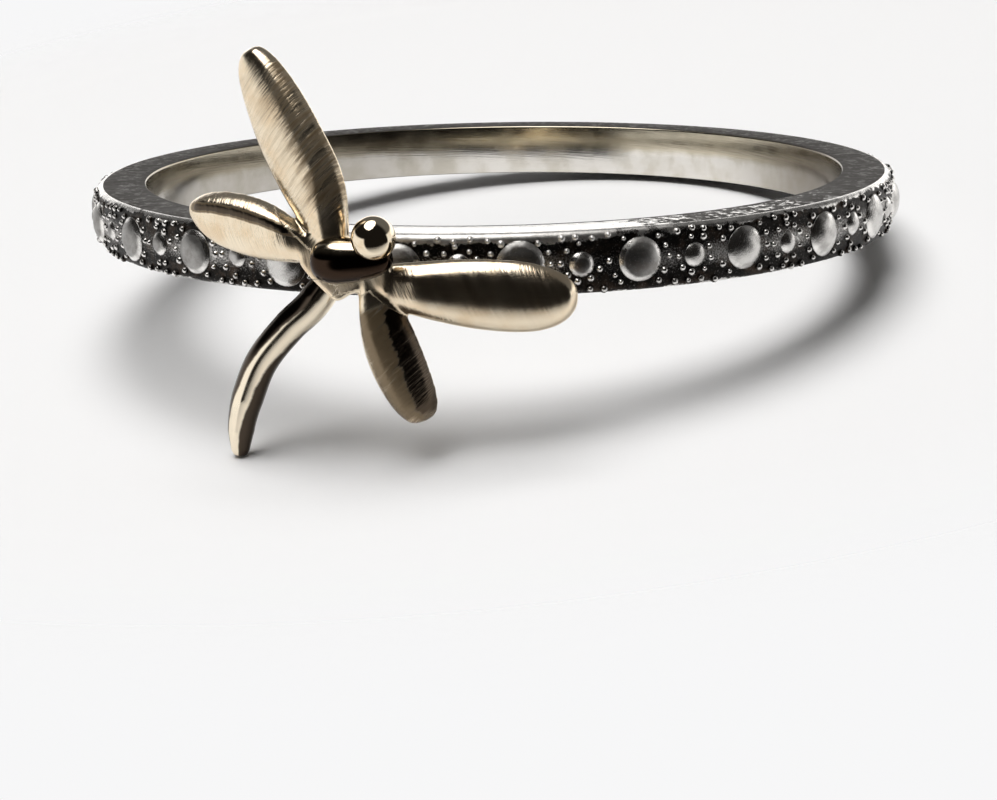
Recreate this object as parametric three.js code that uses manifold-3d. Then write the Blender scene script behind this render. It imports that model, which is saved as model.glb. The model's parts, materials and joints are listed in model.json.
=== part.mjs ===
// Stacking ring: a patterned silver band with a bronze dragonfly soldered to its front.
// Millimetres, +Z up. The ring lies as it rests by itself: on the tip of the dragonfly's tail
// and on the far lower edge of the band. The dragonfly faces -Y.

import * as THREE from "three";
import { ConvexHull } from "three/addons/math/ConvexHull.js";
import { mergeVertices } from "three/addons/utils/BufferGeometryUtils.js";
import Module from "manifold-3d";

const wasm = await Module();
wasm.setup();

// Band sizes
const fingerBore = 17.3;
const bandWall = 1.2;
const bandHeight = 1.35;
const bandCrown = 0.04;
const bandEdgeRound = 0.16;
const bandSegments = 120;

// Bubbles raised on the band, in repeats of one large and one small
const bubbleRepeats = 24;
const bubbleTurn = 7.5;
const bubbleSink = 0.12;
const bubbleFlatness = 2.6;
const bubbleClearance = 0.1;
const bubbleKinds = [
  { name: "large", diameter: 1.0, rise: 0.17, place: 0, sides: 12 },
  { name: "small", diameter: 0.5, rise: 0.11, place: 0.5, sides: 8 },
];

// Dragonfly sheet: the middle of its thickness stands this far in front of the band
const sheetStandoff = 1.0;
const sheetThickness = 0.36;
const wingEdgeThickness = 0.18;
const wingCrown = 0.27;
const wingArch = 2.6;
const foreWingLength = 4.45;
const foreWingWidth = 1.56;
const hindWingLength = 3.25;
const hindWingWidth = 1.25;

// Each side of the sheet is bent back along the band, about an upright line
const leftBend = { line: 0.1, sweep: 8 };
const rightBend = { line: 1.0, sweep: 14 };

// One row for each wing. Root and heading lie in the sheet, from the middle of the band's height.
// An edge has its reach as a share of the width, the share of the length where it is widest,
// how blunt it runs to the tip, and its reach at the root as a share of its widest reach.
const wings = [
  {
    name: "upper left",
    length: 1.05 * foreWingLength,
    width: foreWingWidth,
    root: [0.2, 0.3],
    heading: 111,
    bend: leftBend,
    crest: -0.25,
    droop: 0.09,
    leftEdge: { reach: 0.44, widest: 0.68, blunt: 3.4, atRoot: 0.12 },
    rightEdge: { reach: 0.63, widest: 0.38, blunt: 1.65, atRoot: 0.44 },
  },
  {
    name: "lower left",
    length: 1.04 * hindWingLength,
    width: hindWingWidth,
    root: [0.0, 0.25],
    heading: 163.5,
    bend: leftBend,
    crest: -0.45,
    droop: 0.04,
    leftEdge: { reach: 0.46, widest: 0.7, blunt: 1.9, atRoot: 0.1 },
    rightEdge: { reach: 0.62, widest: 0.47, blunt: 1.9, atRoot: 0.46 },
  },
  {
    name: "upper right",
    length: 1.0 * foreWingLength,
    width: foreWingWidth,
    root: [0.9, -0.25],
    heading: -2.9,
    bend: rightBend,
    crest: 0.1,
    droop: 0.03,
    leftEdge: { reach: 0.455, widest: 0.62, blunt: 2.3, atRoot: 0.6 },
    rightEdge: { reach: 0.52, widest: 0.7, blunt: 2.3, atRoot: 0.3 },
  },
  {
    name: "lower right",
    length: 0.95 * hindWingLength,
    width: hindWingWidth,
    root: [1.1, -0.2],
    heading: -73.4,
    bend: rightBend,
    crest: 0.1,
    droop: 0.05,
    leftEdge: { reach: 0.47, widest: 0.6, blunt: 3.4, atRoot: 0.66 },
    rightEdge: { reach: 0.47, widest: 0.45, blunt: 2.1, atRoot: 0.52 },
  },
];
const wingSections = 16;
const wingFrontPoints = 9;
const wingBackPoints = 5;
const wingRise = 0.3;

// The sheet's middle, which joins the four wings: corners as shares of its width and height
const hub = { middle: [0.6, 0.12], width: 2.0, height: 1.4 };
const hubCorners = [
  [-0.51, 0.04],
  [-0.39, -0.15],
  [-0.15, -0.47],
  [-0.07, -0.48],
  [0.24, -0.13],
  [0.46, -0.35],
  [0.5, 0.06],
  [0.2, 0.24],
  [0.08, 0.42],
  [-0.41, 0.52],
  [-0.5, 0.3],
];

// Body: a round head, an oval chest on the sheet and a tail of tapered wire behind it
const head = { middle: [1.32, 0.83], diameter: 0.93, forward: 0.3 };
const chest = { middle: [0.78, 0.34], length: 1.82, width: 0.8, depth: 0.86, forward: 0.15, turn: 5 };
const tail = { start: [0.1, -0.08], across: 2.36, drop: 4.11, diameter: 0.72, forward: 0.08 };
const tailOverlap = 0.08;
const tailPath = [
  { across: 0.0, drop: 0.0 },
  { across: 0.23, drop: 0.17 },
  { across: 0.46, drop: 0.29 },
  { across: 0.73, drop: 0.47 },
  { across: 0.88, drop: 0.65 },
  { across: 0.97, drop: 0.82 },
  { across: 1.0, drop: 1.0 },
];
const tailTaper = [
  { along: 0.0, thickness: 0.45 },
  { along: 0.02, thickness: 0.75 },
  { along: 0.06, thickness: 0.97 },
  { along: 0.15, thickness: 1.0 },
  { along: 0.7, thickness: 0.97 },
  { along: 0.87, thickness: 0.8 },
  { along: 0.96, thickness: 0.52 },
  { along: 0.99, thickness: 0.36 },
  { along: 1.0, thickness: 0.2 },
];
const tailSections = 26;
const tailSides = 12;

// Seat: the short post behind the sheet, shaped to the band, with room for the solder
const seat = { across: 0.15, up: 0.08, diameter: 0.84, sides: 20 };
const solderGap = 0.1;

const fingerRadius = fingerBore / 2;
const bandRadius = fingerRadius + bandWall;
const crestRadius = bandRadius + bandCrown;
const sheetRadius = bandRadius + sheetStandoff;

const silver = new THREE.MeshStandardMaterial({ color: 0x8f8c87, metalness: 1, roughness: 0.36 });
const bronze = new THREE.MeshStandardMaterial({ color: 0xc8aa7e, metalness: 1, roughness: 0.3 });

// Solids and meshes
function signedVolume(positions, index) {
  const [a, b, c] = [new THREE.Vector3(), new THREE.Vector3(), new THREE.Vector3()];
  let volume = 0;
  for (let i = 0; i < index.length; i += 3) {
    a.fromArray(positions, 3 * index[i]);
    b.fromArray(positions, 3 * index[i + 1]);
    c.fromArray(positions, 3 * index[i + 2]);
    volume += a.dot(b.cross(c)) / 6;
  }
  return volume;
}

function toSolid(geometry) {
  const bare = geometry.clone();
  bare.deleteAttribute("normal");
  bare.deleteAttribute("uv");
  const merged = mergeVertices(bare, 1e-5);
  const positions = Float32Array.from(merged.attributes.position.array);
  const corners = Uint32Array.from(merged.index.array);
  const triangles = [];
  for (let i = 0; i < corners.length; i += 3) {
    const [a, b, c] = corners.slice(i, i + 3);
    if (a !== b && b !== c && c !== a) triangles.push(a, b, c);
  }
  if (signedVolume(positions, triangles) < 0) triangles.reverse();
  return new wasm.Manifold(
    new wasm.Mesh({
      numProp: 3,
      vertProperties: positions,
      triVerts: Uint32Array.from(triangles),
    }),
  );
}

function toGeometry(solid) {
  const mesh = solid.getMesh();
  const geometry = new THREE.BufferGeometry();
  const positions = new Float32Array(mesh.vertProperties);
  geometry.setAttribute("position", new THREE.BufferAttribute(positions, 3));
  geometry.setIndex(new THREE.BufferAttribute(new Uint32Array(mesh.triVerts), 1));
  geometry.computeVertexNormals();
  return geometry;
}

function join(solids) {
  return solids.reduce((whole, next) => whole.add(next));
}

// A closed skin over a row of loops with the same number of points, with a point at each end
function loft(loops, firstEnd, lastEnd) {
  const count = loops[0].length;
  const points = [firstEnd, ...loops.flat(), lastEnd];
  const last = points.length - 1;
  const index = [];
  for (let i = 0; i < count; i += 1) {
    const next = (i + 1) % count;
    index.push(0, 1 + next, 1 + i);
    for (let row = 0; row < loops.length - 1; row += 1) {
      const here = 1 + row * count;
      const there = here + count;
      index.push(here + i, here + next, there + next);
      index.push(here + i, there + next, there + i);
    }
    const end = 1 + (loops.length - 1) * count;
    index.push(last, end + i, end + next);
  }
  const geometry = new THREE.BufferGeometry().setFromPoints(points);
  geometry.setIndex(index);
  return geometry;
}

// Band
function bandProfile() {
  const half = bandHeight / 2;
  const round = Math.min(bandEdgeRound, 0.45 * bandHeight, 0.9 * bandWall);
  const top = new THREE.Vector2(bandRadius - round, half - round);
  const points = [new THREE.Vector2(fingerRadius, -half), new THREE.Vector2(fingerRadius, half)];
  const arcSteps = 2;
  for (let i = 0; i <= arcSteps; i += 1) {
    const angle = (Math.PI / 2) * (1 - i / arcSteps);
    points.push(
      new THREE.Vector2(top.x + round * Math.cos(angle), top.y + round * Math.sin(angle)),
    );
  }
  points.push(new THREE.Vector2(crestRadius, 0));
  for (let i = 0; i <= arcSteps; i += 1) {
    const angle = (Math.PI / 2) * (i / arcSteps);
    points.push(
      new THREE.Vector2(top.x + round * Math.cos(angle), -top.y - round * Math.sin(angle)),
    );
  }
  points.push(points[0].clone());
  return points;
}

function bubble(kind) {
  const radius = kind.diameter / 2;
  const profile = [new THREE.Vector2(0, kind.rise)];
  for (const share of [0.55, 0.85, 1.0]) {
    const height = kind.rise * (1 - share ** bubbleFlatness);
    profile.push(new THREE.Vector2(radius * share, height));
  }
  profile.push(new THREE.Vector2(radius, -bubbleSink), new THREE.Vector2(0, -bubbleSink));
  return new THREE.LatheGeometry(profile, kind.sides);
}

// The seat's footprint on the band is left smooth
function clearsSeat(kind, turn) {
  const away = crestRadius * (turn - seat.across / crestRadius);
  const needed = kind.diameter / 2 + seat.diameter / 2 + bubbleClearance;
  return Math.abs(away) > needed;
}

function bandSolid() {
  const ring = new THREE.LatheGeometry(bandProfile(), bandSegments).rotateX(Math.PI / 2);
  const bubbles = [];
  for (const kind of bubbleKinds) {
    for (let i = 0; i < bubbleRepeats; i += 1) {
      const step = 360 * ((i + kind.place) / bubbleRepeats);
      const turn = THREE.MathUtils.degToRad(bubbleTurn + step);
      const wrapped = Math.atan2(Math.sin(turn), Math.cos(turn));
      if (!clearsSeat(kind, wrapped)) continue;
      const dome = bubble(kind).rotateX(Math.PI).translate(0, -crestRadius, 0).rotateZ(turn);
      bubbles.push(toSolid(dome));
    }
  }
  return join([toSolid(ring), ...bubbles]);
}

// Dragonfly, in the sheet: across to the right, up, and forward out of the sheet
function inSheet(across, up, forward, bend = { line: 0, sweep: 0 }) {
  const sweep = THREE.MathUtils.degToRad(bend.sweep);
  const out = across - bend.line;
  const back = Math.abs(out) * Math.sin(sweep);
  return new THREE.Vector3(
    bend.line + out * Math.cos(sweep),
    -sheetRadius - forward + back,
    up,
  );
}

function edgeReach(edge, width, along) {
  const widest = edge.reach * width;
  if (along < edge.widest) {
    const rise = Math.sin((Math.PI / 2) * (along / edge.widest));
    return widest * (edge.atRoot + (1 - edge.atRoot) * rise);
  }
  const fall = (along - edge.widest) / (1 - edge.widest);
  return widest * (1 - fall ** edge.blunt) ** (1 / edge.blunt);
}

function wingSolid(wing) {
  const heading = THREE.MathUtils.degToRad(wing.heading);
  const [cos, sin] = [Math.cos(heading), Math.sin(heading)];

  function place(along, side, forward) {
    const across = wing.root[0] + wing.length * along * cos - side * sin;
    const up = wing.root[1] + wing.length * along * sin + side * cos;
    const droop = wing.droop * wing.length * along ** 2;
    return inSheet(across, up, forward - droop, wing.bend);
  }

  function section(along) {
    const left = edgeReach(wing.leftEdge, wing.width, along);
    const right = edgeReach(wing.rightEdge, wing.width, along);
    const narrow = Math.min(1, (left + right) / (0.75 * wing.width));
    const crown = wingCrown * Math.min(1, along / wingRise) * narrow;
    function point(share, face) {
      const beyond = share - wing.crest;
      const reach = beyond > 0 ? beyond / (1 - wing.crest) : -beyond / (1 + wing.crest);
      const arch = 1 - reach ** wingArch;
      const thickness = wingEdgeThickness + (sheetThickness - wingEdgeThickness) * arch;
      const side = ((1 + share) * left - (1 - share) * right) / 2;
      return place(along, side, crown * arch + (face * thickness) / 2);
    }
    const loop = [];
    for (let i = 0; i < wingFrontPoints; i += 1) {
      loop.push(point(-Math.cos((Math.PI * i) / (wingFrontPoints - 1)), 1));
    }
    for (let i = 0; i < wingBackPoints; i += 1) {
      loop.push(point(Math.cos((Math.PI * i) / (wingBackPoints - 1)), -1));
    }
    return loop;
  }

  const loops = [];
  for (let i = 0; i < wingSections; i += 1) {
    loops.push(section(1 - (1 - i / wingSections) ** 1.8));
  }
  return toSolid(loft(loops, place(0, 0, 0), place(1, 0, 0)));
}

function hubSolid() {
  const outline = new THREE.Shape(
    hubCorners.map(
      ([across, up]) =>
        new THREE.Vector2(hub.middle[0] + across * hub.width, hub.middle[1] + up * hub.height),
    ),
  );
  const plate = new THREE.ExtrudeGeometry(outline, {
    depth: sheetThickness,
    bevelEnabled: false,
  });
  plate.rotateX(Math.PI / 2).translate(0, sheetThickness / 2 - sheetRadius, 0);
  return toSolid(plate);
}

function headSolid() {
  const ball = new THREE.SphereGeometry(head.diameter / 2, 20, 14);
  const middle = inSheet(head.middle[0], head.middle[1], head.forward);
  return toSolid(ball.translate(middle.x, middle.y, middle.z));
}

function chestSolid() {
  const oval = new THREE.SphereGeometry(0.5, 20, 14);
  oval.scale(chest.length, chest.depth, chest.width);
  oval.rotateY(-THREE.MathUtils.degToRad(chest.turn));
  const middle = inSheet(chest.middle[0], chest.middle[1], chest.forward);
  return toSolid(oval.translate(middle.x, middle.y, middle.z));
}

function tailThickness(along) {
  const next = tailTaper.findIndex((row) => row.along >= along);
  if (next <= 0) return tail.diameter * tailTaper[0].thickness;
  const [low, high] = [tailTaper[next - 1], tailTaper[next]];
  const share = (along - low.along) / (high.along - low.along);
  return tail.diameter * THREE.MathUtils.lerp(low.thickness, high.thickness, share);
}

function tailSolid() {
  const behind = sheetThickness / 2 + tail.diameter / 2 - tailOverlap;
  const path = new THREE.CatmullRomCurve3(
    tailPath.map((row) =>
      inSheet(
        tail.start[0] - row.across * tail.across,
        tail.start[1] - row.drop * tail.drop,
        row.drop * tail.forward - behind,
      ),
    ),
  );
  const forward = new THREE.Vector3(0, -1, 0);
  const loops = [];
  for (let i = 0; i <= tailSections; i += 1) {
    const along = (1 - Math.cos((Math.PI * i) / tailSections)) / 2;
    const middle = path.getPointAt(along);
    const aside = new THREE.Vector3().crossVectors(path.getTangentAt(along), forward).normalize();
    const radius = tailThickness(along) / 2;
    const loop = [];
    for (let j = 0; j < tailSides; j += 1) {
      const angle = (2 * Math.PI * j) / tailSides;
      const point = middle.clone().addScaledVector(aside, radius * Math.cos(angle));
      loop.push(point.addScaledVector(forward, radius * Math.sin(angle)));
    }
    loops.push(loop);
  }
  return toSolid(loft(loops, path.getPointAt(0), path.getPointAt(1)));
}

function seatSolid() {
  const depth = sheetStandoff + bandWall / 2;
  const radius = seat.diameter / 2;
  const post = new THREE.CylinderGeometry(radius, radius, depth, seat.sides);
  post.translate(seat.across, depth / 2 - sheetRadius, seat.up);
  const bore = new THREE.CylinderGeometry(
    crestRadius + solderGap,
    crestRadius + solderGap,
    2 * bandHeight + seat.diameter,
    bandSegments,
  );
  return toSolid(post).subtract(toSolid(bore.rotateX(Math.PI / 2)));
}

function dragonflySolid() {
  const sheet = join([hubSolid(), ...wings.map(wingSolid)]);
  return join([sheet, headSolid(), chestSolid(), tailSolid(), seatSolid()]);
}

// Resting place: the ring turned to lie on the flat of its outer hull that is under its weight
function centreOfVolume(geometries) {
  const [a, b, c] = [new THREE.Vector3(), new THREE.Vector3(), new THREE.Vector3()];
  const centre = new THREE.Vector3();
  let total = 0;
  for (const geometry of geometries) {
    const positions = geometry.attributes.position.array;
    const index = geometry.index.array;
    for (let i = 0; i < index.length; i += 3) {
      a.fromArray(positions, 3 * index[i]);
      b.fromArray(positions, 3 * index[i + 1]);
      c.fromArray(positions, 3 * index[i + 2]);
      const volume = a.dot(new THREE.Vector3().crossVectors(b, c)) / 6;
      centre.addScaledVector(a.add(b).add(c), volume / 4);
      total += volume;
    }
  }
  return centre.divideScalar(total);
}

function restingFace(geometries) {
  const points = [];
  for (const geometry of geometries) {
    const positions = geometry.attributes.position;
    for (let i = 0; i < positions.count; i += 1) {
      points.push(new THREE.Vector3().fromBufferAttribute(positions, i));
    }
  }
  const hull = new ConvexHull().setFromPoints(points);
  const weight = centreOfVolume(geometries);
  const below = new THREE.Vector3(0, 0, -1);
  let best = null;
  for (const face of hull.faces) {
    const slope = face.normal.dot(below);
    if (slope <= 0 || (best && slope <= best.slope)) continue;
    const corners = [face.edge, face.edge.next, face.edge.prev].map((edge) => edge.head().point);
    const foot = new THREE.Plane(face.normal, -face.constant).projectPoint(
      weight,
      new THREE.Vector3(),
    );
    if (new THREE.Triangle(...corners).containsPoint(foot)) best = { slope, normal: face.normal };
  }
  return best.normal.clone();
}

const bandGeometry = toGeometry(bandSolid());
const dragonflyGeometry = toGeometry(dragonflySolid());
const parts = [bandGeometry, dragonflyGeometry];

const turn = new THREE.Quaternion().setFromUnitVectors(
  restingFace(parts),
  new THREE.Vector3(0, 0, -1),
);
const lying = new THREE.Matrix4().makeRotationFromQuaternion(turn);
const extent = new THREE.Box3();
for (const geometry of parts) {
  geometry.applyMatrix4(lying);
  geometry.computeBoundingBox();
  extent.union(geometry.boundingBox);
}
const middle = extent.getCenter(new THREE.Vector3());
for (const geometry of parts) {
  geometry.translate(-middle.x, -middle.y, -extent.min.z);
}

const band = new THREE.Mesh(bandGeometry, silver);
band.name = "band";
const dragonfly = new THREE.Mesh(dragonflyGeometry, bronze);
dragonfly.name = "dragonfly";

const ring = new THREE.Group();
ring.add(band, dragonfly);

export default ring;
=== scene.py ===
import json
import math
import random
from functools import partial

import bmesh
import bpy
from mathutils import Matrix, Vector, noise


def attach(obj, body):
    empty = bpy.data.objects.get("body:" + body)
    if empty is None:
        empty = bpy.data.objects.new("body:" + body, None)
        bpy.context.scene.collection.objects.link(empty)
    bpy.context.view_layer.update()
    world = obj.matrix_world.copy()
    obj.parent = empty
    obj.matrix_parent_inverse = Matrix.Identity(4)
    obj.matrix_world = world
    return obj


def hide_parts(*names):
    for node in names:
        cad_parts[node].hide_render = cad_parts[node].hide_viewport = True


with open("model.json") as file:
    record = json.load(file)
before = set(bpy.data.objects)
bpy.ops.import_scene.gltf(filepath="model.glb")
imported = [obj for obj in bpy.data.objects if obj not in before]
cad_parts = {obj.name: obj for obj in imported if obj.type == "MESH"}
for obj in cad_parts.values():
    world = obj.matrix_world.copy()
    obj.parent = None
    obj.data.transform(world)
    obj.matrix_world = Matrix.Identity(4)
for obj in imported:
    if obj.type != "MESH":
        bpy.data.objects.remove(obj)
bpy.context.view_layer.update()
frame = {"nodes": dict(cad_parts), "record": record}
print("frame loaded:", sorted(frame["nodes"]))

# The ring lies tilted on its tail. Pieces are modelled upright, in millimetres, with the ring's axis
# up, the middle of the band at the origin and the dragonfly towards -Y. The matrix upright moves
# them into place.
upperFace = next(m for m in frame["record"]["mounts"] if m["name"] == "upper_face")
ringTurn = Vector((0, 0, 1)).rotation_difference(Vector(upperFace["axis"]))
bandPoints = [ringTurn.inverted() @ v.co for v in frame["nodes"]["band"].data.vertices]
bandTop = max(p.z for p in bandPoints)
bandBottom = min(p.z for p in bandPoints)
topPoints = [p for p in bandPoints if bandTop - p.z < 1e-6]
ringMiddle = Vector((
    (min(p.x for p in topPoints) + max(p.x for p in topPoints)) / 2,
    (min(p.y for p in topPoints) + max(p.y for p in topPoints)) / 2,
    (bandTop + bandBottom) / 2,
))
topRadii = [1000 * math.hypot(p.x - ringMiddle.x, p.y - ringMiddle.y) for p in topPoints]
upright = (
    Matrix.Translation(ringTurn @ ringMiddle)
    @ ringTurn.to_matrix().to_4x4()
    @ Matrix.Scale(0.001, 4)
)

wallEdge = 0.16
band = {
    "inside": min(topRadii),  # radius of the finger hole
    "outside": max(topRadii) + wallEdge,  # radius of the wall, before its edge is rounded
    "height": 1000 * (bandTop - bandBottom),
    "edge": wallEdge,
    "insideEdge": 0.05,
    "crown": 0.04,
    "wallSteps": 7,  # from the middle of the height to either edge
    "steps": 480,
    "repeats": 24,
    "firstTurn": 7.5,
    "wobble": 0.012,
    "waves": ((0.9, 1.0), (3.1, 0.4)),  # waves to a millimetre, and share of the wobble
    "seed": 11,
}

# The bubbles: each may slide up or down by slide, and sizes are shares of the radius
large = {
    "radius": 0.5, "rise": 0.18, "sides": 40, "rings": 9, "flatness": 2.4,
    "slide": 0.03, "sizes": (0.94, 1.04),
}
small = {
    "radius": 0.25, "rise": 0.12, "sides": 26, "rings": 7, "flatness": 2.2,
    "slide": 0.04, "sizes": (0.9, 1.1),
}
dot = {
    "radius": 0.078, "rise": 0.075, "sides": 9, "rings": 3, "flatness": 2.0,
    "slide": 0.03, "sideways": 0.035, "sizes": (0.78, 1.2), "missing": 0.06,
    "roundLarge": (-52, -27, 0, 27, 52, 128, 153, 180, 207, 232),
    "largeAcross": 0.655, "largeUp": 0.6,
    "roundSmall": 9, "smallStart": 20, "smallAcross": 0.41, "smallUp": 0.40,
    "row": (0.78, 1.12, 1.46, 1.8), "lowerRow": -0.56, "upperRow": 0.54, "upperShift": 0.08,
}
domeFoot = 0.06  # how deep the bubbles reach into the band

camera = {
    "azimuth": 19.5,  # to the right of the dragonfly's front, about the ring's axis
    "distance": 55.5,
    "height": 7.787,  # above the band's top edge
    "pitch": 13.957,
    "roll": -1.188,
    "lens": 80.0,
    "sensor": 36.0,
}


# Helpers for meshes
def finishPiece(bm, name, materials, replaced):
    bmesh.ops.recalc_face_normals(bm, faces=bm.faces)
    bm.transform(upright)
    for face in bm.faces:
        face.smooth = True
    mesh = bpy.data.meshes.new(name)
    bm.to_mesh(mesh)
    bm.free()
    for material in materials:
        mesh.materials.append(material)
    piece = bpy.data.objects.new(name, mesh)
    bpy.context.scene.collection.objects.link(piece)
    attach(piece, "root")
    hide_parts(replaced)
    print(name, "has", len(mesh.polygons), "faces")
    return piece


def wrapGrid(bm, around, along, shape):
    # a flat grid rolled into a skin: shape turns its two shares into a point
    layers = bm.verts.layers.float_vector
    layer = layers.get("skinPlace") or layers.new("skinPlace")
    made = bmesh.ops.create_grid(bm, x_segments=around, y_segments=along, size=0.5)["verts"]
    for vert in made:
        first, second = vert.co.x + 0.5, vert.co.y + 0.5
        vert[layer] = (math.cos(2 * math.pi * first), math.sin(2 * math.pi * first), second)
        vert.co = shape(first, second)
    bmesh.ops.remove_doubles(bm, verts=made, dist=1e-4)


def profileChain(bm, points, closed=False):
    verts = [bm.verts.new(p) for p in points]
    edges = [bm.edges.new(pair) for pair in zip(verts, verts[1:])]
    if closed:
        edges.append(bm.edges.new((verts[-1], verts[0])))
    return verts + edges


def spinRound(bm, geometry, steps):
    bmesh.ops.spin(
        bm, geom=geometry, cent=(0, 0, 0), axis=(0, 0, 1), dvec=(0, 0, 0),
        angle=2 * math.pi, steps=steps, use_merge=True, use_duplicate=False,
    )


def arc(centreRadius, centreHeight, radius, start, end, count):
    turns = [math.radians(start + (end - start) * i / (count - 1)) for i in range(count)]
    return [
        Vector((centreRadius + radius * math.cos(t), 0, centreHeight + radius * math.sin(t)))
        for t in turns
    ]


# Helpers for materials
def fill(tree, socket, value):
    # a socket takes a constant or what another node gives
    if isinstance(value, bpy.types.NodeSocket):
        tree.links.new(value, socket)
    else:
        socket.default_value = value


def addNode(tree, kind, inputs=None, **settings):
    made = tree.nodes.new("ShaderNode" + kind)
    for name, value in settings.items():
        setattr(made, name, value)
    for name, value in (inputs or {}).items():
        fill(tree, made.inputs[name], value)
    return made


def sums(tree, operation, first, second=0.0):
    return addNode(tree, "Math", {0: first, 1: second}, operation=operation).outputs[0]


def plus(tree, first, second):
    return sums(tree, "ADD", first, second)


def minus(tree, first, second):
    return sums(tree, "SUBTRACT", first, second)


def times(tree, first, second):
    return sums(tree, "MULTIPLY", first, second)


def larger(tree, first, second):
    return sums(tree, "MAXIMUM", first, second)


def awayFrom(tree, value, middle):
    return sums(tree, "ABSOLUTE", minus(tree, value, middle))


def roughen(tree, value, cloud, width):
    # a value moved up and down by a cloud pattern, so that what starts at it has a ragged edge
    return plus(tree, value, times(tree, minus(tree, cloud, 0.5), width))


def ramp(tree, value, fromPair, toPair=(0.0, 1.0)):
    # a smooth step from the first value of each pair to the second; a setting holds one pair or both
    made = addNode(tree, "MapRange", {
        "Value": value, "From Min": fromPair[0], "From Max": fromPair[1],
        "To Min": toPair[0], "To Max": toPair[1],
    }, interpolation_type="SMOOTHSTEP")
    return made.outputs["Result"]


def blend(tree, share, first, second):
    made = addNode(tree, "Mix", data_type="RGBA")
    for socket, value in ((0, share), (6, first), (7, second)):
        fill(tree, made.inputs[socket], value)
    return made.outputs[2]


def clouds(tree, place, scale, detail=4.0, roughness=0.55):
    # settings hold scale, detail and roughness as one row
    made = addNode(tree, "TexNoise", {
        "Vector": place, "Scale": scale, "Detail": detail, "Roughness": roughness,
    })
    return made.outputs["Fac"]


def bumps(tree, height, strength, depth):
    return addNode(tree, "Bump", {"Height": height, "Strength": strength, "Distance": depth}).outputs[0]


def newGroup(name, inputs, outputs):
    tree = bpy.data.node_groups.new(name, "ShaderNodeTree")
    for socketName, kind, value in inputs:
        socket = tree.interface.new_socket(socketName, in_out="INPUT", socket_type=kind)
        if value is not None:
            socket.default_value = value
    for socketName, kind in outputs:
        tree.interface.new_socket(socketName, in_out="OUTPUT", socket_type=kind)
    return tree, tree.nodes.new("NodeGroupInput"), tree.nodes.new("NodeGroupOutput")


def useGroup(tree, group, inputs=None):
    made = tree.nodes.new("ShaderNodeGroup")
    made.node_tree = group
    for name, value in (inputs or {}).items():
        fill(tree, made.inputs[name], value)
    return made


def makeRingPlace():
    # where a point is on the ring, in millimetres: distance from the axis, height, and place unrolled
    tree, _, out = newGroup("ringPlace", [], [
        ("Radius", "NodeSocketFloat"), ("Height", "NodeSocketFloat"),
        ("Turn", "NodeSocketFloat"), ("Unrolled", "NodeSocketVector"),
    ])
    place = addNode(tree, "TexCoord").outputs["Object"]
    local = addNode(tree, "Mapping", {
        "Vector": place,
        "Location": upright.to_translation(),
        "Rotation": ringTurn.to_euler(),
        "Scale": (0.001, 0.001, 0.001),
    }, vector_type="TEXTURE").outputs[0]
    parts = addNode(tree, "SeparateXYZ", {0: local})
    flat = addNode(tree, "CombineXYZ", {"X": parts.outputs["X"], "Y": parts.outputs["Y"]})
    radius = addNode(tree, "VectorMath", {0: flat.outputs[0]}, operation="LENGTH").outputs["Value"]
    turn = sums(tree, "ARCTAN2", parts.outputs["X"], times(tree, parts.outputs["Y"], -1.0))
    unrolled = addNode(tree, "CombineXYZ", {
        "X": times(tree, turn, band["outside"]),
        "Y": parts.outputs["Z"],
        "Z": radius,
    }).outputs[0]
    tree.links.new(radius, out.inputs["Radius"])
    tree.links.new(parts.outputs["Z"], out.inputs["Height"])
    tree.links.new(turn, out.inputs["Turn"])
    tree.links.new(unrolled, out.inputs["Unrolled"])
    return tree


def makeFineLines():
    # thin lines that run across Place's first axis, as a brush or long wear leaves them
    tree, given, out = newGroup("fineLines", [
        ("Place", "NodeSocketVector", None), ("Density", "NodeSocketFloat", 30.0),
        ("Length", "NodeSocketFloat", 0.06), ("Slant", "NodeSocketFloat", 0.0),
    ], [("Value", "NodeSocketFloat")])
    turned = addNode(tree, "VectorRotate", {
        "Vector": given.outputs["Place"], "Angle": given.outputs["Slant"],
    }, rotation_type="Z_AXIS").outputs[0]
    lengthwise = times(tree, given.outputs["Density"], given.outputs["Length"])
    stretch = addNode(tree, "CombineXYZ", {
        "X": given.outputs["Density"], "Y": lengthwise, "Z": lengthwise,
    }).outputs[0]
    squeezed = addNode(tree, "VectorMath", {0: turned, 1: stretch}, operation="MULTIPLY").outputs[0]
    tree.links.new(clouds(tree, squeezed, 1.0, 3.0, 0.6), out.inputs["Value"])
    return tree


# The patch to the right of the dragonfly where the upper edge is rubbed bare
wornPatch = {
    "turn": math.radians(15),  # its middle
    "ends": (0.46, 0.36),  # turn from its middle, in radians, over which it ends
    "ragged": (2.4, 4.0, 0.7),
    "raggedWidth": 0.9,
    "height": (0.2, 0.3),  # over which it starts
}


def makeWornFront():
    # 1 in the worn patch and 0 elsewhere
    tree, _, out = newGroup("wornFront", [], [("Value", "NodeSocketFloat")])
    place = useGroup(tree, ringPlace).outputs
    ragged = clouds(tree, place["Unrolled"], *wornPatch["ragged"])
    away = awayFrom(tree, place["Turn"], wornPatch["turn"])
    near = ramp(tree, roughen(tree, away, ragged, wornPatch["raggedWidth"]), wornPatch["ends"])
    upper = ramp(tree, place["Height"], wornPatch["height"])
    tree.links.new(times(tree, near, upper), out.inputs["Value"])
    return tree


ringPlace = makeRingPlace()
fineLines = makeFineLines()
wornFront = makeWornFront()


def drawLines(tree, place, settings):
    return useGroup(tree, fineLines, {"Place": place, **settings}).outputs[0]


def startMaterial(name):
    material = bpy.data.materials.new(name)
    material.use_nodes = True
    tree = material.node_tree
    shader = next(n for n in tree.nodes if n.type == "BSDF_PRINCIPLED")
    return material, tree, shader


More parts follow.
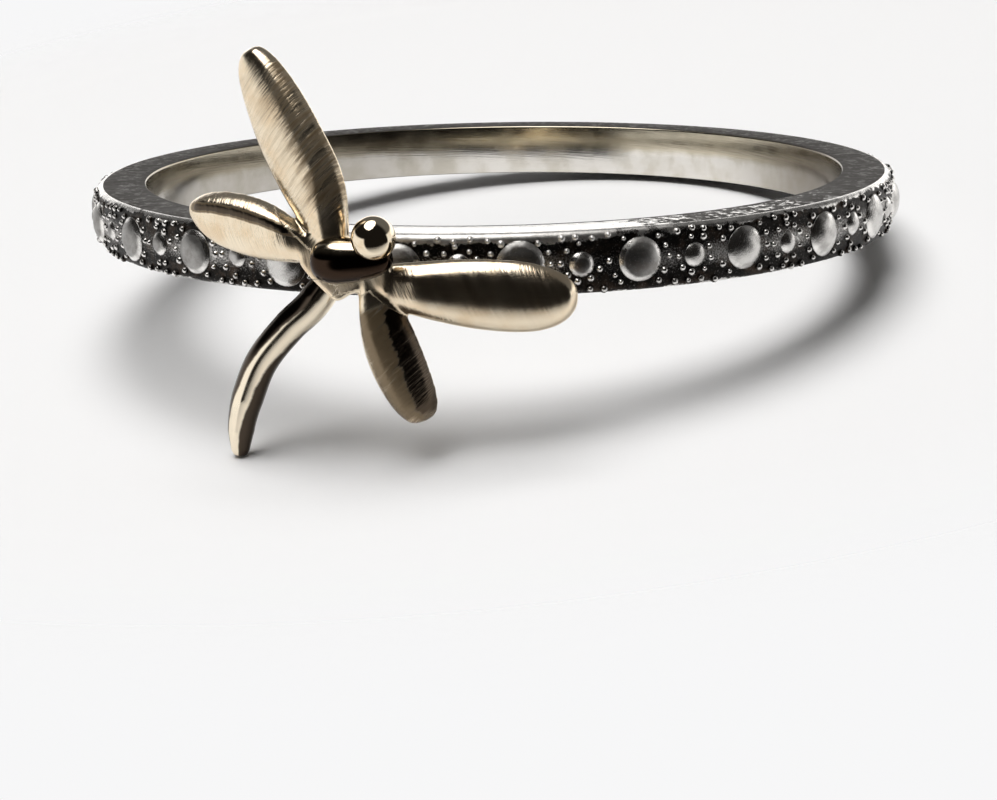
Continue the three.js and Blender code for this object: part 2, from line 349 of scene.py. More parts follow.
def link(tree, shader, **values):
    for name, value in values.items():
        fill(tree, shader.inputs[name.replace("_", " ")], value)


# Silver, blackened in the low places and rubbed bright on the high ones
silver = {
    "bright": (0.92, 0.90, 0.87, 1),
    "grey": (0.22, 0.21, 0.20, 1),
    "black": (0.012, 0.011, 0.010, 1),
    "brown": (0.055, 0.040, 0.030, 1),
    "stain": (3.2, 5.0, 0.62),
    "grain": (26.0, 3.0, 0.6),
    "patches": (1.1, 3.0, 0.5),
    "ragged": (7.5, 3.0, 0.6),
    "scratches": {"Density": 34.0, "Length": 0.09, "Slant": 0.6},
    "rubbed": (0.008, 0.045),  # height over the ground where rubbing starts, and where it is bare
    "rubbedWidth": 0.05,
    "paintedDarkMiddles": (0.10, 0.15),  # height over the ground where the bubbles' painted dark middles start
    "paintedDarkMiddlesWidth": 0.06,
    "film": ((-0.1, -0.45), (0.28, 0.62)),  # painted dark reflection on the middles, thicker to the left of the dragonfly
    "paintedDarkTurn": math.radians(23),  # middle of the heavier painted dark reflection, to the right of the dragonfly
    "paintedDarkEnds": (0.34, 0.22),
    "paintedDarkExtra": 0.6,
    "edge": (0.575, 0.625),  # distance from the middle of the height where the bare edge starts
    "lowerEdge": -0.9,  # the lower edge is worn less than the upper one
    "raggedWidth": 0.22,
    "patchesWidth": 0.30,
    "wornWidth": 0.10,
    "brownStain": (0.45, 0.72),
    "greyGrain": (0.55, 0.8),
    "greyStain": ((0.4, 0.7), (0.0, 0.5)),
    "grainHeight": 0.75,
    "scratchHeight": 0.25,
    "bumpStrength": ((0.0, 1.0), (0.45, 0.2)),  # where it is dark, and where it is bare
    "bumpDepth": 0.00003,
    "roughness": ((0.0, 1.0), (0.42, 0.16)),
    "scratchRoughness": 0.1,
    "wornRoughness": 2.0,
}


def makeTarnishedSilver():
    material, tree, shader = startMaterial("tarnishedSilver")
    place = useGroup(tree, ringPlace).outputs
    unrolled = place["Unrolled"]
    stain = clouds(tree, unrolled, *silver["stain"])
    grain = clouds(tree, unrolled, *silver["grain"])
    rise = minus(tree, place["Radius"], band["outside"] + 0.5 * band["crown"])
    rubbed = ramp(tree, roughen(tree, rise, grain, silver["rubbedWidth"]), silver["rubbed"])
    # the bubbles' middles are painted dark, a painted reflection of the dark room
    paintedDarkHeavy = ramp(tree, awayFrom(tree, place["Turn"], silver["paintedDarkTurn"]), silver["paintedDarkEnds"])
    film = ramp(tree, place["Turn"], *silver["film"])
    film = plus(tree, film, times(tree, paintedDarkHeavy, silver["paintedDarkExtra"]))
    paintedDarkMiddles = plus(tree, rise, times(tree, stain, silver["paintedDarkMiddlesWidth"]))
    film = times(tree, film, ramp(tree, paintedDarkMiddles, silver["paintedDarkMiddles"]))
    rubbed = times(tree, rubbed, minus(tree, 1.0, film))
    # both edges are worn through to bare metal in ragged patches
    patches = clouds(tree, unrolled, *silver["patches"])
    ragged = clouds(tree, unrolled, *silver["ragged"])
    worn = useGroup(tree, wornFront).outputs[0]
    reach = larger(tree, place["Height"], times(tree, place["Height"], silver["lowerEdge"]))
    reach = roughen(tree, reach, ragged, silver["raggedWidth"])
    reach = roughen(tree, reach, patches, silver["patchesWidth"])
    reach = plus(tree, reach, times(tree, worn, silver["wornWidth"]))
    bare = larger(tree, rubbed, ramp(tree, reach, silver["edge"]))
    dark = blend(tree, ramp(tree, stain, silver["brownStain"]), silver["black"], silver["brown"])
    dark = blend(tree, ramp(tree, grain, silver["greyGrain"]), dark, silver["grey"])
    light = blend(tree, ramp(tree, stain, *silver["greyStain"]), silver["bright"], silver["grey"])
    scratches = drawLines(tree, unrolled, silver["scratches"])
    height = times(tree, grain, silver["grainHeight"])
    height = plus(tree, height, times(tree, scratches, silver["scratchHeight"]))
    rough = plus(tree, scratches, times(tree, worn, silver["wornRoughness"]))
    rough = times(tree, rough, silver["scratchRoughness"])
    link(
        tree, shader,
        Base_Color=blend(tree, bare, dark, light),
        Metallic=1.0,
        Roughness=plus(tree, ramp(tree, bare, *silver["roughness"]), rough),
        Normal=bumps(tree, height, ramp(tree, bare, *silver["bumpStrength"]), silver["bumpDepth"]),
    )
    return material


# The inside of the band, polished by the finger, with a painted olive reflection above and painted shade at
# the sides
innerWall = {
    "clean": (0.84, 0.81, 0.76, 1),
    "dull": (0.70, 0.66, 0.58, 1),
    "paintedOlive": (0.60, 0.54, 0.41, 1),
    "dark": (0.17, 0.145, 0.115, 1),
    "lines": {"Density": 26.0, "Length": 0.03},
    "linesTurn": math.radians(88),
    "film": (1.3, 4.0),
    "bumpStrength": 0.08,
    "bumpDepth": 0.00002,
    "left": ((-0.3, -0.75), (0.0, 0.45)),  # sine of the turn from the front, and painted shade
    "right": ((0.4, 0.9), (0.0, 0.95)),
    "upper": (0.0, 0.24),  # height over which the painted olive reflection starts
    "upperWidth": 0.2,
    "paintedOliveStrength": 0.9,
    "dullFilm": (0.35, 0.7),
    "roughness": ((0.3, 0.75), (0.13, 0.24)),
}


def makePolishedInside():
    material, tree, shader = startMaterial("polishedInside")
    place = useGroup(tree, ringPlace).outputs
    unrolled = place["Unrolled"]
    swapped = addNode(tree, "VectorRotate", {
        "Vector": unrolled, "Angle": innerWall["linesTurn"],
    }, rotation_type="Z_AXIS").outputs[0]
    lines = drawLines(tree, swapped, innerWall["lines"])
    film = clouds(tree, unrolled, *innerWall["film"])
    # painted reflection: an olive band over the upper half of the wall; painted shade darkens its sides
    across = sums(tree, "SINE", place["Turn"])
    aside = larger(tree, ramp(tree, across, *innerWall["left"]), ramp(tree, across, *innerWall["right"]))
    upward = plus(tree, place["Height"], times(tree, film, innerWall["upperWidth"]))
    paintedOliveShare = times(tree, ramp(tree, upward, innerWall["upper"]), innerWall["paintedOliveStrength"])
    clean = blend(tree, ramp(tree, film, innerWall["dullFilm"]), innerWall["clean"], innerWall["dull"])
    link(
        tree, shader,
        Base_Color=blend(tree, aside, blend(tree, paintedOliveShare, clean, innerWall["paintedOlive"]), innerWall["dark"]),
        Metallic=1.0,
        Roughness=ramp(tree, film, *innerWall["roughness"]),
        Normal=bumps(tree, lines, innerWall["bumpStrength"], innerWall["bumpDepth"]),
    )
    return material


# The flat rims, dull with grime but for the worn patch and bright specks, which are painted glints at the
# front right
rim = {
    "grime": (0.075, 0.068, 0.062, 1),
    "scratches": {"Density": 14.0, "Length": 0.1, "Slant": 1.3},
    "film": (1.4, 5.0, 0.65),
    "specks": (5.0, 4.0, 0.7),
    "speckEdge": (0.50, 0.62),
    "paintedGlintTurn": math.radians(48),  # painted glints: the specks are bright at the front right and faint elsewhere
    "paintedGlintAside": ((0.55, 0.2), (0.18, 0.85)),
    "specksFilm": ((0.4, 0.55), (0.4, 1.0)),
    "innerLine": (0.12, 0.2),  # distance from the finger hole where a dark line ends
    "bumpStrength": 0.1,
    "bumpDepth": 0.00002,
    "roughness": ((0.3, 0.7), (0.16, 0.3)),
    "grimeRoughness": ((0.6, 0.0), (0.0, 0.4)),
}


def makeRubbedRim():
    material, tree, shader = startMaterial("rubbedRim")
    place = useGroup(tree, ringPlace).outputs
    unrolled = place["Unrolled"]
    scratches = drawLines(tree, unrolled, rim["scratches"])
    film = clouds(tree, unrolled, *rim["film"])
    worn = useGroup(tree, wornFront).outputs[0]
    specks = ramp(tree, clouds(tree, unrolled, *rim["specks"]), rim["speckEdge"])
    # painted glints: the specks are strongest at the front right
    aside = awayFrom(tree, place["Turn"], rim["paintedGlintTurn"])
    specks = times(tree, specks, ramp(tree, aside, *rim["paintedGlintAside"]))
    specks = times(tree, specks, ramp(tree, film, *rim["specksFilm"]))
    inward = minus(tree, place["Radius"], band["inside"])
    light = times(tree, larger(tree, worn, specks), ramp(tree, inward, rim["innerLine"]))
    rough = ramp(tree, scratches, *rim["roughness"])
    link(
        tree, shader,
        Base_Color=blend(tree, light, rim["grime"], silver["bright"]),
        Metallic=1.0,
        Roughness=plus(tree, rough, ramp(tree, light, *rim["grimeRoughness"])),
        Normal=bumps(tree, scratches, rim["bumpStrength"], rim["bumpDepth"]),
    )
    return material


# Bronze of a pale champagne colour: satin brushed wings, polished body
bronze = {
    "light": (0.90, 0.785, 0.605, 1),
    "rubbed": (0.97, 0.86, 0.68, 1),
    "deep": (0.74, 0.55, 0.34, 1),
    # the next two colours are painted shade: brown for the wings' thin painted shade, near black for their
    # thick painted shade and for the chest and tail
    "brown": (0.25, 0.185, 0.11, 1),
    "paintedShadeDark": (0.035, 0.022, 0.015, 1),
    "bumpDepth": 0.00002,
}

# The wings' brush lines and painted shade. The attribute wingPlace holds a point's place on its wing, and
# each wing's places start one step further on; the shade attribute says how much painted shade lies there.
brush = {
    "step": 10.0,
    "coarse": {"Density": 8.0, "Length": 0.09, "Slant": 0.5},
    "fine": {"Density": 21.0, "Length": 0.06, "Slant": 0.42},
    "fineHeight": 0.6,
    "film": (1.6, 4.0),
    "behindRoot": 2.0,  # how far behind a root its wing's places may start
    "outward": ((0.3, 1.1), (0.1, 0.75)),  # the lines are faint round the wings' roots
    "thirdMiddle": 22.5,  # and fainter on the third wing
    "thirdEnds": (5.5, 5.0),
    "thirdStrength": ((0.0, 1.0), (1.0, 0.5)),
    "deepFilm": ((0.35, 0.75), (0.0, 0.6)),
    "streaks": ((0.12, 0.42), (0.0, 0.55)),
    "paintedBrown": (0.15, 0.5),  # the painted shade is dull and brown where it is thin
    "paintedBrownEnds": (0.95, 0.65),
    "paintedBlack": ((0.6, 0.9), (0.0, 0.93)),  # and near black where it is thick
    "metallic": ((0.0, 1.0), (1.0, 0.5)),
    "roughness": ((0.25, 0.75), (0.15, 0.24)),
}


def makeBrushedBronze():
    material, tree, shader = startMaterial("brushedBronze")
    place = addNode(tree, "Attribute", attribute_name="wingPlace").outputs["Vector"]
    coarse = drawLines(tree, place, brush["coarse"])
    fine = drawLines(tree, place, brush["fine"])
    film = clouds(tree, place, *brush["film"])
    height = plus(tree, coarse, times(tree, fine, brush["fineHeight"]))
    along = addNode(tree, "SeparateXYZ", {0: place}).outputs["X"]
    outward = sums(tree, "MODULO", plus(tree, along, brush["behindRoot"]), brush["step"])
    outward = minus(tree, outward, brush["behindRoot"])
    third = ramp(tree, awayFrom(tree, along, brush["thirdMiddle"]), brush["thirdEnds"])
    strength = ramp(tree, outward, *brush["outward"])
    strength = times(tree, strength, ramp(tree, third, *brush["thirdStrength"]))
    clean = blend(tree, ramp(tree, film, *brush["deepFilm"]), bronze["light"], bronze["deep"])
    # painted shade from the attribute, streaked along the brush lines
    paintedShade = addNode(tree, "Attribute", attribute_name="paintedShade").outputs["Fac"]
    streaks = minus(tree, plus(tree, coarse, fine), 1.0)
    paintedShade = plus(tree, paintedShade, times(tree, streaks, ramp(tree, paintedShade, *brush["streaks"])))
    paintedBrown = ramp(tree, paintedShade, brush["paintedBrown"])
    paintedBrown = times(tree, paintedBrown, ramp(tree, paintedShade, brush["paintedBrownEnds"]))
    paintedBlack = ramp(tree, paintedShade, *brush["paintedBlack"])
    thin = blend(tree, paintedBrown, clean, bronze["brown"])
    link(
        tree, shader,
        Base_Color=blend(tree, paintedBlack, thin, bronze["paintedShadeDark"]),
        Metallic=ramp(tree, paintedBrown, *brush["metallic"]),
        Roughness=ramp(tree, coarse, *brush["roughness"]),
        Normal=bumps(tree, height, strength, bronze["bumpDepth"]),
    )
    return material


# The head is polished
polish = {
    "film": (1.2, 4.0),
    "lines": {"Density": 30.0, "Length": 0.1, "Slant": 1.0},
    "bumpStrength": 0.05,
    "deepFilm": (0.4, 0.7),
    "roughness": ((0.3, 0.7), (0.05, 0.1)),
}


def makePolishedBronze():
    material, tree, shader = startMaterial("polishedBronze")
    place = addNode(tree, "Mapping", {
        "Vector": addNode(tree, "TexCoord").outputs["Object"], "Scale": (1000, 1000, 1000),
    }).outputs[0]
    film = clouds(tree, place, *polish["film"])
    lines = drawLines(tree, place, polish["lines"])
    link(
        tree, shader,
        Base_Color=blend(tree, ramp(tree, film, polish["deepFilm"]), bronze["light"], bronze["deep"]),
        Metallic=1.0,
        Roughness=ramp(tree, film, *polish["roughness"]),
        Normal=bumps(tree, lines, polish["bumpStrength"], bronze["bumpDepth"]),
    )
    return material


# The chest is painted dark with painted shade but for its upper left
chestPaintedShade = {
    "film": (3.0, 4.0),
    "filmWidth": 0.12,
    "unshadedHeight": (0.46, 0.6),
    "unshadedAcross": (1.05, 0.8),
    "roughness": ((0.3, 0.7), (0.06, 0.13)),
}


def makeShadePaintedBronze():
    material, tree, shader = startMaterial("shadePaintedBronze")
    place = useGroup(tree, ringPlace).outputs
    across = addNode(tree, "SeparateXYZ", {0: place["Unrolled"]}).outputs["X"]
    film = clouds(tree, place["Unrolled"], *chestPaintedShade["film"])
    height = roughen(tree, place["Height"], film, chestPaintedShade["filmWidth"])
    # the upper left keeps the metal's colour; the rest is painted shade
    clean = ramp(tree, height, chestPaintedShade["unshadedHeight"])
    clean = times(tree, clean, ramp(tree, across, chestPaintedShade["unshadedAcross"]))
    link(
        tree, shader,
        Base_Color=blend(tree, clean, bronze["paintedShadeDark"], bronze["light"]),
        Metallic=1.0,
        Roughness=ramp(tree, film, *chestPaintedShade["roughness"]),
    )
    return material


# The tail keeps its metal colour along one line and is painted dark beside it, a painted dark reflection on
# its sides
tailPaintedShade = {
    "film": (2.2, 4.0),
    "filmWidth": 0.3,
    "line": ((0.1, 0.95), (-0.62, 0.3)),  # share of the way along, and place across the wire
    "dark": ((0.42, 0.58), (0.0, 0.96)),
    "roughness": ((0.3, 0.7), (0.08, 0.15)),
}


def makeTailBronze():
    material, tree, shader = startMaterial("tailBronze")
    skin = addNode(tree, "Attribute", attribute_name="skinPlace").outputs["Vector"]
    parts = addNode(tree, "SeparateXYZ", {0: skin}).outputs
    film = clouds(tree, useGroup(tree, ringPlace).outputs["Unrolled"], *tailPaintedShade["film"])
    # painted dark reflection on either side of one line round the wire
    away = awayFrom(tree, parts["X"], ramp(tree, parts["Z"], *tailPaintedShade["line"]))
    dark = ramp(tree, roughen(tree, away, film, tailPaintedShade["filmWidth"]), *tailPaintedShade["dark"])
    link(
        tree, shader,
        Base_Color=blend(tree, dark, bronze["rubbed"], bronze["paintedShadeDark"]),
        Metallic=1.0,
        Roughness=ramp(tree, film, *tailPaintedShade["roughness"]),
    )
    return material


tarnishedSilver = makeTarnishedSilver()
polishedInside = makePolishedInside()
rubbedRim = makeRubbedRim()
brushedBronze = makeBrushedBronze()
polishedBronze = makePolishedBronze()
shadePaintedBronze = makeShadePaintedBronze()
tailBronze = makeTailBronze()
print("materials made")


# Band
def bandProfile():
    half = band["height"] / 2
    edge, soft = band["edge"], band["insideEdge"]
    inner, outer = band["inside"], band["outside"]
    steps = band["wallSteps"]
    wall = [
        Vector((outer + band["crown"] * (1 - (z / (half - edge)) ** 2), 0, z))
        for z in [(half - edge) * (1 - i / steps) for i in range(1, 2 * steps)]
    ]
    return (
        arc(inner + soft, half - soft, soft, 180, 90, 4)
        + arc(outer - edge, half - edge, edge, 90, 0, 8)
        + wall
        + arc(outer - edge, edge - half, edge, 0, -90, 8)
        + arc(inner + soft, soft - half, soft, 270, 180, 4)
    )


def domeMesh(kind):
    bm = bmesh.new()
    chain = []
    for i in range(kind["rings"] + 1):
        share = math.sin(math.pi / 2 * i / kind["rings"])
        height = kind["rise"] * (1 - share ** kind["flatness"])
        chain.append(Vector((share * kind["radius"], 0, height)))
    chain.append(Vector((kind["radius"], 0, -domeFoot)))
    chain.append(Vector((0, 0, -domeFoot)))
    spinRound(bm, profileChain(bm, chain), kind["sides"])
    bmesh.ops.remove_doubles(bm, verts=bm.verts, dist=1e-4)
    bmesh.ops.recalc_face_normals(bm, faces=bm.faces)
    mesh = bpy.data.meshes.new("dome")
    bm.to_mesh(mesh)
    bm.free()
    return mesh


def addDome(bm, mesh, turn, height, size):
    already = len(bm.verts)
    bm.from_mesh(mesh)
    bm.verts.ensure_lookup_table()
    new = bm.verts[already:]
    ground = band["outside"] + band["crown"] * (1 - (2 * height / band["height"]) ** 2)
    place = (
        Matrix.Rotation(turn, 4, "Z")
        @ Matrix.Translation((0, -ground, height))
        @ Matrix.Rotation(math.pi / 2, 4, "X")
        @ Matrix.Diagonal((size, size, 1, 1))
    )
    bmesh.ops.transform(bm, matrix=place, verts=new)


def dotPlaces(chance):
    # one repeat of the pattern: dots round the large bubble at 0 and round the small one half a repeat on
    step = 2 * math.pi * band["outside"] / band["repeats"]
    found = []
    for degrees in dot["roundLarge"]:
        angle = math.radians(degrees)
        found.append((dot["largeAcross"] * math.cos(angle), dot["largeUp"] * math.sin(angle)))
    for i in range(dot["roundSmall"]):
        angle = math.radians(dot["smallStart"] + 360 / dot["roundSmall"] * i)
        found.append((step / 2 + dot["smallAcross"] * math.cos(angle), dot["smallUp"] * math.sin(angle)))
    for across in dot["row"]:
        found.append((across, dot["lowerRow"]))
        found.append((across + dot["upperShift"], dot["upperRow"]))
    sideways, slide = dot["sideways"], dot["slide"]
    return [
        (
            x + chance.uniform(-sideways, sideways),
            y + chance.uniform(-slide, slide),
            chance.uniform(*dot["sizes"]),
        )
        for x, y in found
        if chance.random() > dot["missing"]
    ]


def buildBand():
    bm = bmesh.new()
    spinRound(bm, profileChain(bm, bandProfile(), closed=True), band["steps"])
    for vert in bm.verts:
        radius = math.hypot(vert.co.x, vert.co.y)
        if radius < band["inside"] + 0.1:
            continue
        sway = sum(share * band["wobble"] * noise.noise(vert.co * waves) for waves, share in band["waves"])
        vert.co.x *= 1 + sway / radius
        vert.co.y *= 1 + sway / radius
    # the finger hole's wall and the flat rims have finishes of their own
    half = band["height"] / 2
    for face in bm.faces:
        middle = face.calc_center_median()
        radius = math.hypot(middle.x, middle.y)
        if radius < band["inside"] + 0.02:
            face.material_index = 1
        elif abs(middle.z) > half - 0.03 and radius < band["outside"] - band["edge"]:
            face.material_index = 2
    chance = random.Random(band["seed"])
    largeMesh, smallMesh, dotMesh = domeMesh(large), domeMesh(small), domeMesh(dot)
    turnStep = 2 * math.pi / band["repeats"]
    for i in range(band["repeats"]):
        turn = math.radians(band["firstTurn"]) + i * turnStep
        for kind, mesh, start in ((large, largeMesh, turn), (small, smallMesh, turn + turnStep / 2)):
            height = chance.uniform(-kind["slide"], kind["slide"])
            addDome(bm, mesh, start, height, chance.uniform(*kind["sizes"]))
        for across, height, size in dotPlaces(chance):
            addDome(bm, dotMesh, turn + across / band["outside"], height, size)
    return finishPiece(bm, "patternedBand", [tarnishedSilver, polishedInside, rubbedRim], "band")


buildBand()


# Dragonfly: the sheet lies in front of the band, and each side is bent back along it
sheet = {
    "radius": band["outside"] + 1.0,
    "thickness": 0.36,
    "edgeThickness": 0.2,
    "crown": 0.27,
    "crownFrom": 0.3,  # share of a wing's length over which its crown rises
    "taperFrom": 0.75,  # share of a wing's width under which its crown falls
    "arch": 2.6,
    "tipRows": 2.2,  # how much closer together the rows lie at a tip
    "around": 72,
    "along": 84,
    "voxel": 0.036,
    "smoothing": 6,
}
leftBend = {"line": 0.1, "sweep": 8}
rightBend = {"line": 1.0, "sweep": 14}
noBend = {"line": 0.0, "sweep": 0}

wings = [
    {
        "name": "upperLeft", "length": 4.65, "width": 1.56, "root": (0.2, 0.3), "heading": 111.8,
        "bend": leftBend, "crest": -0.25, "droop": 0.065, "taperFrom": 1.1,
        "leftEdge": (0.44, 0.68, 3.4, 0.12), "rightEdge": (0.63, 0.38, 1.65, 0.44),
    },
    {
        "name": "lowerLeft", "length": 3.38, "width": 1.25, "root": (0.0, 0.25), "heading": 163.5,
        "bend": leftBend, "crest": -0.45, "droop": 0.04,
        "leftEdge": (0.46, 0.7, 1.9, 0.1), "rightEdge": (0.62, 0.47, 1.9, 0.46),
    },
    {
        "name": "upperRight", "length": 4.45, "width": 1.56, "root": (0.9, -0.25), "heading": -2.9,
        "bend": rightBend, "crest": 0.1, "droop": 0.03,
        "leftEdge": (0.455, 0.62, 2.3, 0.6), "rightEdge": (0.52, 0.7, 2.3, 0.3),
    },
    {
        "name": "lowerRight", "length": 3.09, "width": 1.25, "root": (1.1, -0.2), "heading": -73.4,
        "bend": rightBend, "crest": 0.1, "droop": 0.05,
        "leftEdge": (0.47, 0.6, 3.4, 0.66), "rightEdge": (0.47, 0.45, 2.1, 0.52),
    },
]


# The lower left wing has painted shade along a fold line: its distance from the wing's middle line at
# places along it
paintedFold = {
    "wing": "lowerLeft",
    "line": [(0.3, 0.45), (1.26, 0.46), (2.0, 0.40), (2.6, 0.29), (3.2, 0.10)],
    "halfWidth": 0.095,
    "beyond": 0.1,  # how far it goes on past the line's ends
    "startFade": 0.6,
    "endFade": 0.25,
}

# Painted shade on two other wings: its amount at places across, to be multiplied by that at places along
paintedWingShades = {
    "upperLeft": {
        "across": [(-0.6, 0.22), (0.14, 0.25), (0.3, 0.34), (0.44, 0.42), (0.62, 0.36)],
        "along": [(0.5, 0.0), (1.2, 1.0), (4.1, 1.0), (4.5, 0.3)],
    },
    "lowerRight": {
        "across": [(-0.27, 1.0), (-0.15, 0.6), (0.36, 0.52), (0.49, 0.0)],
        "along": [(0.25, 0.0), (0.6, 1.0), (2.75, 1.0), (3.0, 0.6)],
    },
}


def lookUp(rows, at):
    # the value at a place, from rows of (place, value) with straight lines between them
    if at <= rows[0][0]:
        return rows[0][1]
    for (low, first), (high, second) in zip(rows, rows[1:]):
        if at <= high:
            return first + (second - first) * (at - low) / (high - low)
    return rows[-1][1]


def inPaintedFold(along, across):
    start = paintedFold["line"][0][0] - paintedFold["beyond"]
    end = paintedFold["line"][-1][0] + paintedFold["beyond"]
    away = abs(across - lookUp(paintedFold["line"], along)) / paintedFold["halfWidth"]
    ends = min(1.0, (along - start) / paintedFold["startFade"], (end - along) / paintedFold["endFade"])
    return max(0.0, min(1.0, 1.5 - away)) * max(0.0, ends)


def paintedShadeAt(place, backward):
    # the painted shade is on the front only, so it ends where the normal turns backward
    number = round(place[0] / brush["step"])
    along = place[0] - brush["step"] * number
    front = max(0.0, min(1.0, 0.6 - 3 * backward))
    name = wings[number]["name"]
    if name == paintedFold["wing"]:
        return front * inPaintedFold(along, place[1])
    if name in paintedWingShades:
        film = paintedWingShades[name]
        return front * lookUp(film["across"], place[1]) * lookUp(film["along"], along)
    return 0.0


def inSheet(across, up, forward, bend=noBend):
    sweep = math.radians(bend["sweep"])
    out = across - bend["line"]
    return Vector((
        bend["line"] + out * math.cos(sweep),
        -sheet["radius"] - forward + abs(out) * math.sin(sweep),
        up,
    ))


def edgeReach(edge, width, along):
    reach, widest, blunt, atRoot = edge
    if along < widest:
        return reach * width * (atRoot + (1 - atRoot) * math.sin(math.pi / 2 * along / widest))
    fall = (along - widest) / (1 - widest)
    return reach * width * max(0.0, 1 - fall ** blunt) ** (1 / blunt)


def wingPoint(wing, around, along):
    # around runs once round the section: over the front first, then back behind
    along = 1 - (1 - along) ** sheet["tipRows"]
    left = edgeReach(wing["leftEdge"], wing["width"], along)
    right = edgeReach(wing["rightEdge"], wing["width"], along)
    angle = 2 * math.pi * around
    share = -math.cos(angle)
    face = 1 if math.sin(angle) >= 0 else -1
    beyond = share - wing["crest"]
    reach = beyond / (1 - wing["crest"]) if beyond > 0 else -beyond / (1 + wing["crest"])
    arch = 1 - min(1, reach) ** sheet["arch"]
    narrow = min(1, (left + right) / (wing.get("taperFrom", sheet["taperFrom"]) * wing["width"]))
    crown = sheet["crown"] * min(1, along / sheet["crownFrom"]) * narrow
    side = ((1 + share) * left - (1 - share) * right) / 2
    edgeRadius = sheet["edgeThickness"] / 2
    gap = min(left - side, side + right, (1 - along) * wing["length"])
    rounding = math.sqrt(max(0.0, 1 - (1 - min(gap, edgeRadius) / edgeRadius) ** 2))
    thickness = sheet["edgeThickness"] + (sheet["thickness"] - sheet["edgeThickness"]) * arch
    forward = crown * arch + face * thickness / 2 * rounding
    forward -= wing["droop"] * wing["length"] * along ** 2
    heading = math.radians(wing["heading"])
    return inSheet(
        wing["root"][0] + wing["length"] * along * math.cos(heading) - side * math.sin(heading),
        wing["root"][1] + wing["length"] * along * math.sin(heading) + side * math.cos(heading),
        forward, wing["bend"],
    )


# The sheet's middle: its outline, clockwise from the left, and the seat behind it
hub = {
    "outline": [
        (-0.42, 0.18), (-0.18, -0.09), (0.3, -0.54), (0.46, -0.55), (0.62, -0.42), (0.82, -0.36),
        (1.08, -0.06), (1.52, -0.37), (1.6, 0.2), (1.0, 0.46), (0.76, 0.71), (-0.22, 0.85), (-0.4, 0.54),
    ],
    "corner": 0.12,
    "edge": 0.11,
}
seat = {"across": 0.15, "up": 0.08, "top": 0.4032, "foot": 0.5, "sunk": 0.05, "sides": 48}


def bevelEdges(bm, edges, width):
    bmesh.ops.bevel(
        bm, geom=edges, offset=width, offset_type="OFFSET", segments=5, profile=0.5,
        affect="EDGES", clamp_overlap=True, material=-1,
    )


def addHub(bm):
    plate = bmesh.new()
    back = -sheet["radius"] + sheet["thickness"] / 2
    plate.faces.new([plate.verts.new((x, back, z)) for x, z in hub["outline"]])
    grown = bmesh.ops.extrude_face_region(plate, geom=plate.faces[:])["geom"]
    front = [v for v in grown if isinstance(v, bmesh.types.BMVert)]
    bmesh.ops.translate(plate, vec=(0, -sheet["thickness"], 0), verts=front)
    bmesh.ops.recalc_face_normals(plate, faces=plate.faces)
    corners = [e for e in plate.edges if abs(e.verts[0].co.y - e.verts[1].co.y) > 0.1]
    bevelEdges(plate, corners, hub["corner"])
    rims = [e for e in plate.edges if abs(e.verts[0].co.y - e.verts[1].co.y) < 0.01]
    bevelEdges(plate, rims, hub["edge"])
    plateMesh = bpy.data.meshes.new("plate")
    plate.to_mesh(plateMesh)
    plate.free()
    bm.from_mesh(plateMesh)


def addSeat(bm):
    depth = sheet["radius"] - band["outside"] + seat["sunk"]
    post = bmesh.ops.create_cone(
        bm, cap_ends=True, segments=seat["sides"], radius1=seat["foot"], radius2=seat["top"], depth=depth
    )["verts"]
    bmesh.ops.rotate(bm, verts=post, cent=(0, 0, 0), matrix=Matrix.Rotation(math.pi / 2, 3, "X"))
    middle = (seat["across"], -sheet["radius"] + depth / 2, seat["up"])
    bmesh.ops.translate(bm, verts=post, vec=middle)


def buildSheet():
    bm = bmesh.new()
    for wing in wings:
        wrapGrid(bm, sheet["around"], sheet["along"], partial(wingPoint, wing))
    addHub(bm)
    addSeat(bm)
    bmesh.ops.recalc_face_normals(bm, faces=bm.faces)
    rough = bpy.data.meshes.new("wingSheetRough")
    bm.to_mesh(rough)
    bm.free()
    roughPiece = bpy.data.objects.new("wingSheetRough", rough)
    bpy.context.scene.collection.objects.link(roughPiece)
    fused = roughPiece.modifiers.new("fuse", "REMESH")
    fused.mode = "VOXEL"
    fused.voxel_size = sheet["voxel"]
    shown = roughPiece.evaluated_get(bpy.context.evaluated_depsgraph_get())
    bm = bmesh.new()
    bm.from_mesh(shown.to_mesh())
    bpy.data.objects.remove(roughPiece)
    for _ in range(sheet["smoothing"]):
        bmesh.ops.smooth_vert(
            bm, verts=bm.verts, factor=0.5, use_axis_x=True, use_axis_y=True, use_axis_z=True
        )
    bm.normal_update()
    places = wingPlaces(bm)
    # how much painted shade each point gets
    paintedShades = [paintedShadeAt(place, vert.normal.y) for place, vert in zip(places, bm.verts)]
    piece = finishPiece(bm, "wingSheet", [brushedBronze], "dragonfly")
    attribute = piece.data.attributes.new("wingPlace", "FLOAT_VECTOR", "POINT")
    attribute.data.foreach_set("vector", [value for place in places for value in place])
    paintedShade = piece.data.attributes.new("paintedShade", "FLOAT", "POINT")
    paintedShade.data.foreach_set("value", paintedShades)
    return piece


